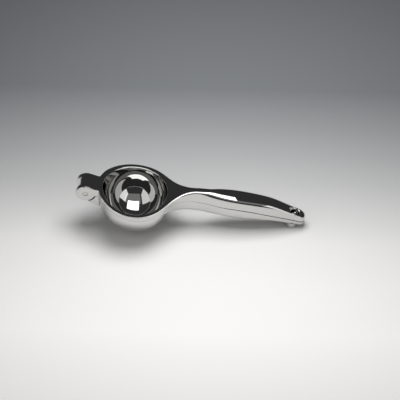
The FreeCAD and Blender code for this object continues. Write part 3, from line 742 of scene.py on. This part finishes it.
def strainer_disc(radius):
    """The disc divided into triangles between its rim, the hole edges and rings of points."""
    rim = STRAINED * np.stack([np.cos(disc_turns), np.sin(disc_turns)], axis=-1)
    edge = (STRAIN_RADIUS + HOLE_ROUND) * np.stack([np.cos(hole_turns), np.sin(hole_turns)], axis=-1)
    holes = (hole_centres[:, None, :] + edge[None, :, :]).reshape(-1, 2)
    across = np.arange(-STRAINED, STRAINED, DOT_SPACING)
    grid_x, grid_y = np.meshgrid(across, across * math.sqrt(3) / 2)
    grid_x = grid_x + (np.arange(len(across)) % 2)[:, None] * DOT_SPACING / 2
    dots = np.stack([grid_x.ravel(), grid_y.ravel()], axis=-1)
    flat_ring = on_circle((0, 0), CUP_FLAT, np.arange(60) * 6.0)
    clear_of_holes = np.min(np.linalg.norm(dots[:, None] - hole_centres[None], axis=2), axis=1)
    span = np.linalg.norm(dots, axis=1)
    dots = dots[(clear_of_holes > STRAIN_RADIUS + HOLE_ROUND + 0.45) & (span < STRAINED - 0.5)
                & (np.abs(span - CUP_FLAT) > 0.35)]
    points = np.concatenate([rim, holes, flat_ring, dots])
    made = geometry.delaunay_2d_cdt([Vector(p) for p in points.tolist()], [], [], 0, 1e-6)
    plan = np.array([tuple(p) for p in made[0]])
    faces = np.array([tuple(face) for face in made[2] if len(face) == 3])
    middle = plan[faces].mean(axis=1)
    open_space = np.min(np.linalg.norm(middle[:, None] - hole_centres[None], axis=2), axis=1)
    faces = faces[open_space > STRAIN_RADIUS + HOLE_ROUND * 0.9]
    level = sphere_level(plan, radius)
    return np.concatenate([plan, level[:, None]], axis=1), faces


def hole_wall(centre):
    """One juice hole: out over a small round, straight through and out over the other round."""
    turn = np.linspace(0, math.pi / 2, 5)
    grow = STRAIN_RADIUS + HOLE_ROUND * (1 - np.sin(turn))
    dip = HOLE_ROUND * (1 - np.cos(turn))
    around = np.append(hole_turns, 0)
    radial = np.stack([np.cos(around), np.sin(around)], axis=-1)
    rows = []
    for radius, sign, order in ((CUP_RADIUS, 1, slice(None)), (CUP_INSIDE, -1, slice(None, None, -1))):
        plan = centre + radial[:, None, :] * grow[order][None, :, None]
        level = sphere_level(plan, radius) + sign * dip[order][None, :]
        rows.append(np.concatenate([plan, level[:, :, None]], axis=2))
    return np.concatenate(rows, axis=1)


cup_centre = np.array([0, 0, CUP_MIDDLE])
cup_parts = [cup_wall(CUP_RADIUS, low_edge(0.0), lambda p: p - cup_centre),
             cup_wall(CUP_INSIDE, 0.0, lambda p: cup_centre - p)]
disc_points, disc_faces = strainer_disc(CUP_RADIUS)
cup_parts.append((disc_points, disc_faces[:, ::-1]))
cup_parts.append(strainer_disc(CUP_INSIDE))
cup_parts += [sheet(hole_wall(centre), lambda p: (np.append(centre, 0) - p) * [1, 1, 0])
              for centre in hole_centres]
print("juice holes", len(hole_centres), "disc triangles", len(disc_faces))

# %% [markdown]
# ## Knuckle, bracket and foot
#
# The lower arm reaches the pin with a knuckle between the ears. Knuckle and bracket are flat
# shapes given a width, with their edges rounded: the outline is pulled towards its middle as it
# nears each side face.

# %% Knuckle, bracket and foot


def slab(rows, middle, half_width, soft):
    """A closed outline in the side view, given a width. Near each face it shrinks towards its
    middle by a quarter round."""
    rows = np.asarray(rows, float)
    offset = rows - middle
    reach = np.linalg.norm(offset, axis=1)[:, None]
    turn = np.linspace(0, math.pi / 2, 6)
    shrink = soft * (1 - np.cos(turn))
    depth = half_width - soft * (1 - np.sin(turn))
    pull = np.concatenate([shrink[::-1], shrink])
    place = np.concatenate([-depth[::-1], depth])
    scale = 1 - pull[None, :] / reach
    ring = middle[None, None, :] + offset[:, None, :] * scale[:, :, None]
    grid = np.stack([ring[:, :, 0], np.broadcast_to(place, scale.shape), ring[:, :, 1]], axis=-1)
    parts = [sheet(grid, away_from(middle))]
    for column, facing in ((0, -1), (-1, 1)):
        centre = np.broadcast_to([middle[0], grid[0, column, 1], middle[1]], (len(rows), 3))
        parts.append(sheet(between(grid[:, column], centre, 8), (0, facing, 0)))
    return parts


def closed(*pieces):
    rows = np.concatenate(pieces)
    return np.concatenate([rows, rows[:1]])


def straight(first, last, count):
    """Points from the first to the last, without the first."""
    return even(np.array([first, last]), count)[1:]


# Angles round the hinge axis, in degrees: the knuckle's round part, its neck and the bracket
KNUCKLE_FROM, KNUCKLE_TO = -24, 260
NECK_LOW, NECK_HIGH = -68, -30
NECK_REACH = SLIT_RADIUS + 2.0
BRACKET_FROM, BRACKET_TO = -21.5, -77
BRACKET_SLOPE = math.tan(math.radians(33))
BRACKET_MIDDLE = np.array([-36.4, 35.8])
neck_low = on_circle(HINGE, NECK_REACH, NECK_LOW)
neck_high = on_circle(HINGE, NECK_REACH, NECK_HIGH)
knuckle_first = on_circle(HINGE, KNUCKLE_RADIUS, KNUCKLE_FROM)
knuckle_last = on_circle(HINGE, KNUCKLE_RADIUS, KNUCKLE_TO)
knuckle_rows = closed(on_circle(HINGE, KNUCKLE_RADIUS, np.linspace(KNUCKLE_FROM, KNUCKLE_TO, 80)),
                      straight(knuckle_last, neck_low, 10), straight(neck_low, neck_high, 8),
                      straight(neck_high, knuckle_first, 8)[:-1])
lower_parts_whole = slab(knuckle_rows, HINGE, KNUCKLE_HALF, 0.4)

slit_rows = on_circle(HINGE, SLIT_RADIUS, np.linspace(BRACKET_FROM, BRACKET_TO, 40))
bracket_tip = slit_rows[-1]
inside_x = -CUP_RADIUS + 1.2
low_end = np.array([inside_x, bracket_tip[1] - (inside_x - bracket_tip[0]) * BRACKET_SLOPE])
rim_x = np.linspace(inside_x, slit_rows[0, 0], 12)
bracket_rows = closed(slit_rows, straight(bracket_tip, low_end, 16),
                      straight(low_end, (inside_x, rim_at(inside_x)), 14),
                      np.stack([rim_x, rim_at(rim_x) - 0.02], axis=-1)[1:-1])
lower_parts_whole += slab(bracket_rows, BRACKET_MIDDLE, STRAP_HALF, 0.5)


def foot_points(turns):
    """The foot as a closed tube: down the hole, flat on the floor, over a small round, up the wall
    and back inside the handle."""
    turn = np.linspace(0, math.pi / 2, 7)
    radius = np.concatenate([FOOT_RADIUS - FOOT_EDGE * (1 - np.sin(turn)), [FOOT_RADIUS] * 3])
    plan_x = HANG_AHEAD + radius[None, :] * np.cos(turns)[:, None]
    height = np.tile(np.concatenate([FOOT_EDGE * (1 - np.cos(turn)), FOOT_ROWS]), (len(turns), 1))
    height[:, -1] = under_at(plan_x[:, -1]) + FOOT_SUNK
    outer = np.stack([plan_x, radius[None, :] * np.sin(turns)[:, None], height], axis=-1)
    bore_top = hang_circle(under_at, turns)[:, None]
    hole = hang_circle(lambda x: 0 * x + FOOT_LIP, turns)
    lip = hole.copy()
    lip[:, :2] += FOOT_LIP * (lip[:, :2] - [HANG_AHEAD, 0]) / HANG_RADIUS
    lip[:, 2] = 0.0
    return np.concatenate([bore_top, hole[:, None], lip[:, None], outer, bore_top], axis=1)


foot_turns = np.concatenate([hang_turns, -hang_turns[::-1][1:]])
foot_centre = np.array([HANG_AHEAD, 0, 3.0])
lower_parts_whole.append(sheet(foot_points(foot_turns), lambda p: (p - foot_centre) * [1, 1, 3]))
lower_skin = build("lower_arm_skin", both_sides(lower_parts) + cup_parts + lower_parts_whole)

# %% [markdown]
# ## The hinge pin
#
# The pin is turned: one profile of radius and place swept round the hinge axis. It is pressed into
# the ears, so it ends flush with them, and a bevel at each end eased it in.

# %% Hinge pin


def pin_points(steps=64):
    """A pin flush with both ears: bevelled ends with a shallow centre mark."""
    half = STRAP_HALF - 0.05
    radius = [0.0, 0.5, 0.9, 1.6, PIN_RADIUS - 0.45, PIN_RADIUS - 0.15, PIN_RADIUS, PIN_RADIUS]
    place = [half - 0.3, half - 0.25, half - 0.04, half, half, half - 0.12, half - 0.45, 0.0]
    return hinge_sweep(np.linspace(0, 360, steps + 1), radius, place)


def out_of_pin(points):
    result = (points - [HINGE[0], 0, HINGE[1]]) * [1, 0.2, 1]
    result[:, 1] += np.sign(points[:, 1])
    return result


pin_skin = build("hinge_pin_skin", both_sides([sheet(pin_points(), out_of_pin)]), sharp=50.0)

# %% [markdown]
# ## Finishes
#
# Chrome plate is a mirror over cast metal. What makes it believable is what disturbs the mirror: a
# slow waviness left by polishing by hand, hairlines from wiping, and faint smears that change the
# roughness. One group makes these, and each material sets its own strengths.

# %% Effects shared by the metals


def node(tree, kind, place, inputs=None, **values):
    """A node at a place in its tree, with its settings and its unlinked inputs."""
    made = tree.nodes.new(kind)
    made.location = place
    for name, value in values.items():
        setattr(made, name, value)
    for name, value in (inputs or {}).items():
        made.inputs[name].default_value = value
    return made


def join(tree, *links):
    """Links, each given as node, output, node, input."""
    for source, output, target, entry in links:
        tree.links.new(source.outputs[output], target.inputs[entry])


def wear_group():
    """Waviness, hairlines and smears out of Object coordinates."""
    group = bpy.data.node_groups.new("PolishedMetal", "ShaderNodeTree")
    group.interface.new_socket(name="Vector", in_out="INPUT", socket_type="NodeSocketVector")
    for name, default in (("Smear Roughness", 0.03), ("Base Roughness", 0.04), ("Hairline", 0.2)):
        socket = group.interface.new_socket(name=name, in_out="INPUT", socket_type="NodeSocketFloat")
        socket.default_value = default
    for name in ("Roughness", "Height"):
        group.interface.new_socket(name=name, in_out="OUTPUT", socket_type="NodeSocketFloat")
    enter = node(group, "NodeGroupInput", (-900, 0))
    result = node(group, "NodeGroupOutput", (700, 0))
    smear = node(group, "ShaderNodeTexNoise", (-600, 200), {"Scale": 60.0, "Detail": 4.0})
    smear_map = node(group, "ShaderNodeMapRange", (-350, 200), {"From Min": 0.45, "From Max": 0.75})
    wave = node(group, "ShaderNodeTexNoise", (-600, -50), {"Scale": 90.0, "Detail": 1.0})
    stretch = node(group, "ShaderNodeMapping", (-750, -300),
                   {"Scale": (120.0, 900.0, 900.0), "Rotation": (0.0, 0.15, 0.3)})
    hair = node(group, "ShaderNodeTexNoise", (-550, -300), {"Scale": 3.0, "Detail": 3.0})
    scale_smear = node(group, "ShaderNodeMath", (-100, 200), operation="MULTIPLY")
    add_base = node(group, "ShaderNodeMath", (150, 200), operation="ADD")
    scale_hair = node(group, "ShaderNodeMath", (-300, -300), operation="MULTIPLY")
    total = node(group, "ShaderNodeMath", (0, -150), operation="ADD")
    join(group, (enter, "Vector", smear, "Vector"), (enter, "Vector", wave, "Vector"),
         (enter, "Vector", stretch, "Vector"), (stretch, "Vector", hair, "Vector"),
         (smear, "Fac", smear_map, "Value"), (smear_map, "Result", scale_smear, 0),
         (enter, "Smear Roughness", scale_smear, 1), (scale_smear, 0, add_base, 0),
         (enter, "Base Roughness", add_base, 1), (hair, "Fac", scale_hair, 0),
         (enter, "Hairline", scale_hair, 1), (wave, "Fac", total, 0), (scale_hair, 0, total, 1),
         (add_base, 0, result, "Roughness"), (total, 0, result, "Height"))
    return group


polish = wear_group()


def new_material(name, **inputs):
    """A material with its shader's constants, its tree, its shader and its coordinates."""
    material = bpy.data.materials.new(name)
    material.use_nodes = True
    shader = material.node_tree.nodes["Principled BSDF"]
    for entry, value in inputs.items():
        shader.inputs[entry.replace("_", " ")].default_value = value
    return material, material.node_tree, shader, node(material.node_tree, "ShaderNodeTexCoord", (-900, 0))


def metal(name, colour, base, smear, hairline, bump, distance):
    """A metal whose roughness and relief come from the shared group."""
    material, tree, shader, where = new_material(name, Base_Color=(*colour, 1.0), Metallic=1.0)
    strengths = {"Base Roughness": base, "Smear Roughness": smear, "Hairline": hairline}
    effect = node(tree, "ShaderNodeGroup", (-600, 0), strengths, node_tree=polish)
    relief = node(tree, "ShaderNodeBump", (-300, -200), {"Strength": bump, "Distance": distance})
    join(tree, (where, "Object", effect, "Vector"), (effect, "Roughness", shader, "Roughness"),
         (effect, "Height", relief, "Height"), (relief, "Normal", shader, "Normal"))
    return material


chrome = metal("Chrome", (0.60, 0.597, 0.585), 0.03, 0.03, 0.05, 0.15, 0.0001)
pin_steel = metal("PinSteel", (0.62, 0.59, 0.53), 0.22, 0.12, 0.6, 0.4, 0.0002)
for piece, material, body, node_name, slot in (
        (upper_skin, chrome, "upper", "upper_arm", "chrome_upper"),
        (lower_skin, chrome, "lower", "lower_arm", "chrome_lower"),
        (pin_skin, pin_steel, "upper", "hinge_pin", "pin_steel")):
    piece.data.materials.append(material)
    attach(piece, body)
    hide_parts(node_name)
    print(piece.name, "rides on", body)

# %% [markdown]
# ## Floor, light and camera
#
# Chrome shows its room. The squeezer stands on paper painted pale in front and grey behind, a painted
# falloff of light, under a large soft light overhead, with softer ones at the sides. Everything else is
# dark, which is why its flat tops look black and its sides, which face the paper, look bright. The
# overhead light is made twice: one lights the paper and isn't mirrored, the other is mirrored and
# lights nothing. One lamp could do both, but then the shadow and the reflection couldn't be set apart.

# %% Studio
OVERHEAD_SIZE = (0.307, 0.269)
# Tones of the paper along Y in mm: painted falloff of the overhead light, pale in front and grey behind
PAPER_PAINTED_FALLOFF = ((-137, 0.94), (-78, 0.83), (-26, 0.71), (0, 0.61), (52, 0.443), (91, 0.352),
               (130, 0.28), (189, 0.192))


def paper_material():
    """Paper painted with the falloff of light: a ramp along Y, pale in front and grey behind, with a fine
    tooth.
    """
    material, tree, shader, where = new_material("PaperPaintedFalloff", Roughness=0.8, Specular_IOR_Level=0.15)
    first, last = PAPER_PAINTED_FALLOFF[0][0], PAPER_PAINTED_FALLOFF[-1][0]
    split = node(tree, "ShaderNodeSeparateXYZ", (-700, 0))
    span = node(tree, "ShaderNodeMapRange", (-500, 0), {"From Min": first * MM, "From Max": last * MM})
    tones = node(tree, "ShaderNodeValToRGB", (-300, 0))
    stops = tones.color_ramp.elements
    while len(stops) < len(PAPER_PAINTED_FALLOFF):
        stops.new(0.5)
    for stop, (place, tone) in zip(stops, PAPER_PAINTED_FALLOFF):
        stop.position = (place - first) / (last - first)
        # The painted falloff is a little warmer in front and a little bluer behind
        warm = (tone - 0.5) * 0.03
        stop.color = (tone + warm, tone, tone - warm, 1.0)
    tooth = node(tree, "ShaderNodeTexNoise", (-500, -250), {"Scale": 900.0})
    relief = node(tree, "ShaderNodeBump", (-300, -250), {"Strength": 0.05, "Distance": 0.0001})
    join(tree, (where, "Object", split, "Vector"), (split, "Y", span, "Value"),
         (span, "Result", tones, "Fac"), (tones, "Color", shader, "Base Color"),
         (where, "Object", tooth, "Vector"), (tooth, "Fac", relief, "Height"),
         (relief, "Normal", shader, "Normal"))
    return material


def paper_sheet():
    """A disc on the table whose edge curves up all round: radius and height turned about Z."""
    bend = np.linspace(0, math.radians(70), 16)
    radius = np.concatenate([[0.0, 100.0, 300.0, 600.0, 1000.0, 1500.0], 1900 + 500 * np.sin(bend)])
    height = np.concatenate([np.zeros(6), 500 - 500 * np.cos(bend)])
    made = build("Paper", [sheet(ring_points(np.linspace(0, 2 * math.pi, 97), radius, height), up)])
    made.data.materials.append(paper_material())
    return made


paper_sheet()


def panel(name, middle, size, brightness, facing):
    """A rectangular soft light. Its power is pi times its area times the brightness it shows."""
    light = bpy.data.lights.new(name, "AREA")
    light.shape = "RECTANGLE"
    light.size, light.size_y = size
    light.energy = math.pi * size[0] * size[1] * brightness
    made = bpy.data.objects.new(name, light)
    made.location = middle
    made.rotation_mode = "QUATERNION"
    made.rotation_quaternion = Vector(facing).to_track_quat("-Z", "Y")
    bpy.context.scene.collection.objects.link(made)
    return made


key = panel("OverheadKey", (0.0775, 0.09, 0.44), OVERHEAD_SIZE, 9.0, (0, 0, -1))
key.visible_glossy = False
seen = panel("OverheadSeen", (0.0775, 0.0255, 0.441), OVERHEAD_SIZE, 2.6, (0, 0, -1))
seen.visible_diffuse = False
panel("LeftPanel", (-0.50, -0.52, 0.68), (0.96, 1.15), 0.85, (1, 0, 0))
panel("RightPanel", (0.80, -0.54, 0.58), (0.82, 0.96), 1.05, (-1, 0, 0))
panel("Ceiling", (0.40, -0.60, 1.20), (1.50, 1.00), 0.20, (0, 0, -1))

world = bpy.data.worlds.new("DarkRoom")
world.use_nodes = True
world.node_tree.nodes["Background"].inputs["Color"].default_value = (0.042, 0.042, 0.043, 1.0)
bpy.context.scene.world = world
bpy.context.scene.view_settings.view_transform = "Standard"

# %% [markdown]
# ## The camera
#
# The camera was found by laying the part's outline over the photograph. Its distance, height and
# turn are set here, and the picture is placed by the pixel that shows the target.

# %% Camera
TARGET = Vector((0.0, 0.0, 0.035))
AZIMUTH = math.radians(1.875)
ELEVATION = math.radians(46.73)
PICTURE = 400.0
SEEN = 1.4235
FOCUS_PIXEL = (135.39, 194.83)
LENS = 135.0
SENSOR = 36.0
level = math.cos(ELEVATION)
towards_camera = Vector((math.sin(AZIMUTH) * level, -math.cos(AZIMUTH) * level, math.sin(ELEVATION)))
right = Vector((math.cos(AZIMUTH), math.sin(AZIMUTH), 0.0))
above = towards_camera.cross(right)
pixel = SEEN / (LENS / SENSOR * PICTURE)
camera_data = bpy.data.cameras.new("Camera")
camera_data.lens = LENS
camera_data.sensor_width = SENSOR
camera_data.clip_end = 20.0
camera = bpy.data.objects.new("Camera", camera_data)
camera.location = (TARGET + towards_camera * SEEN - right * (FOCUS_PIXEL[0] - PICTURE / 2) * pixel
                   + above * (FOCUS_PIXEL[1] - PICTURE / 2) * pixel)
camera.rotation_mode = "QUATERNION"
camera.rotation_quaternion = (-towards_camera).to_track_quat("-Z", "Y")
bpy.context.scene.collection.objects.link(camera)
bpy.context.scene.camera = camera
print("camera at", [round(value, 4) for value in camera.location])
